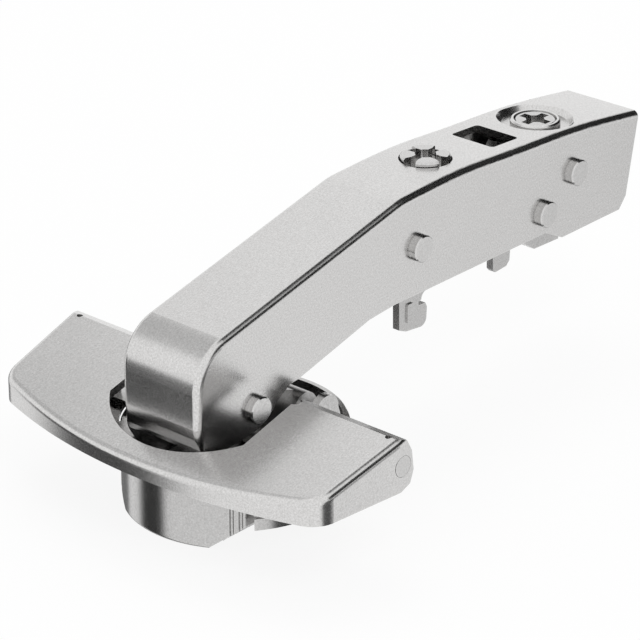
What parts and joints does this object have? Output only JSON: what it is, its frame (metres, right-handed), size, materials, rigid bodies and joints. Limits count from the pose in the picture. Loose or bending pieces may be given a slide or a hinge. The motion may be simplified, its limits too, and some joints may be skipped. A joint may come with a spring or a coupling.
{
  "type": "concealed cup hinge",
  "caption": "Concealed door hinge with 35 mm cup, tool-free cover lever, gooseneck arm, folding links, damper and overlay and depth adjustment, shown open.",
  "frame": {"origin": "on the cup's axis in the plane of the door's face, which is the underside of the flange", "axes": "+X along the arm towards the mounting plate, +Y along the hinge axes, +Z out of the cup, away from the door"},
  "size_m": [0.1132, 0.0678, 0.0431],
  "materials": {
    "nickel_plate": "satin nickel plating on pressed steel",
    "pin_steel": "satin",
    "screw_zinc": "zinc plating",
    "spring_steel": "drawn wire",
    "damper_plastic": "moulded grey plastic"
  },
  "bodies": {
    "cup": {"cup": "nickel_plate", "lever_pins": "pin_steel", "cup_pin_outer": "pin_steel", "cup_pin_inner": "pin_steel", "damper_housing": "damper_plastic", "closing_spring": "spring_steel"},
    "cover_lever": {"cover_lever": "nickel_plate"},
    "jaw_near": {"jaw_near": "nickel_plate"},
    "jaw_far": {"jaw_far": "nickel_plate"},
    "outer_link": {"outer_link": "nickel_plate"},
    "inner_link": {"inner_link": "nickel_plate"},
    "damper_plunger": {"damper_plunger": "damper_plastic"},
    "arm": {"arm": "nickel_plate", "nose_rivets": "pin_steel", "arm_pin": "pin_steel", "rivet_front": "pin_steel", "rivet_middle": "pin_steel", "rivet_rear": "pin_steel"},
    "carriage": {"carriage": "nickel_plate", "bracket_pin": "pin_steel", "latch_pin": "pin_steel", "latch_spring": "spring_steel"},
    "bracket": {"bracket": "nickel_plate"},
    "overlay_screw": {"overlay_screw": "screw_zinc"},
    "overlay_nut": {"overlay_nut": "screw_zinc"},
    "depth_cam": {"depth_cam": "screw_zinc"},
    "latch": {"latch": "nickel_plate"}
  },
  "joints": [
    {"name": "outer_link_turn", "type": "hinge", "parent": "cup", "child": "outer_link", "pos_m": [0.0066, 0, 0.0026], "axis": [0, -1, 0], "range_deg": [-24.6, 0]},
    {"name": "inner_link_turn", "type": "hinge", "parent": "cup", "child": "inner_link", "pos_m": [0.00693, 0, -0.005], "axis": [0, -1, 0], "range_deg": [0, 2.9]},
    {"name": "fold", "type": "hinge", "parent": "outer_link", "child": "arm", "pos_m": [-0.0037, 0, 0.0061], "axis": [0, -1, 0], "range_deg": [0, 114.5]},
    {"name": "cover_lever_lift", "type": "hinge", "parent": "cup", "child": "cover_lever", "pos_m": [-0.0006, 0, 0.0042], "axis": [0, 1, 0], "range_deg": [0, 20]},
    {"name": "jaw_near_slide", "type": "slide", "parent": "cup", "child": "jaw_near", "axis": [0, 1, 0], "range_m": [0, 0.0008]},
    {"name": "jaw_far_slide", "type": "slide", "parent": "cup", "child": "jaw_far", "axis": [0, -1, 0], "range_m": [0, 0.0008]},
    {"name": "damper_slide", "type": "slide", "parent": "cup", "child": "damper_plunger", "axis": [0, 0, -1], "range_m": [0, 0.0032]},
    {"name": "overlay_screw_turn", "type": "hinge", "parent": "arm", "child": "overlay_screw", "pos_m": [0.0443, 0, 0.029], "axis": [0, 0, 1], "range_deg": [-270, 270]},
    {"name": "overlay_nut_slide", "type": "slide", "parent": "arm", "child": "overlay_nut", "axis": [0, 0, 1], "range_m": [-0.00075, 0.00075]},
    {"name": "depth_cam_turn", "type": "hinge", "parent": "arm", "child": "depth_cam", "pos_m": [0.0722, 0, 0.028], "axis": [0, 0, 1], "range_deg": [-60, 60]},
    {"name": "carriage_slide", "type": "slide", "parent": "arm", "child": "carriage", "axis": [1, 0, 0], "range_m": [-0.0013, 0.0013]},
    {"name": "bracket_tilt", "type": "hinge", "parent": "carriage", "child": "bracket", "pos_m": [0.0575, 0, 0.0145], "axis": [0, 1, 0], "range_deg": [-3.27, 3.27]},
    {"name": "latch_turn", "type": "hinge", "parent": "carriage", "child": "latch", "pos_m": [0.0786, 0, 0.015], "axis": [0, -1, 0], "range_deg": [0, 8], "stiffness_Nm_per_rad": 0.05, "springref_deg": -8.59, "deforming": ["latch_spring"]}
  ],
  "couplings": [
    {"joint": "outer_link_turn", "follows": "fold", "ratio": -0.21397},
    {"joint": "inner_link_turn", "follows": "fold", "ratio": 0.02437},
    {"joint": "damper_slide", "follows": "fold", "m_per_rad": 0.0015997},
    {"joint": "cover_lever_lift", "follows": "jaw_near_slide", "rad_per_m": 435.9},
    {"joint": "jaw_far_slide", "follows": "jaw_near_slide", "ratio": 0.999},
    {"joint": "overlay_screw_turn", "follows": "overlay_nut_slide", "rad_per_m": -6276.9},
    {"joint": "bracket_tilt", "follows": "overlay_nut_slide", "rad_per_m": 75.7},
    {"joint": "depth_cam_turn", "follows": "carriage_slide", "rad_per_m": -804.73}
  ]
}
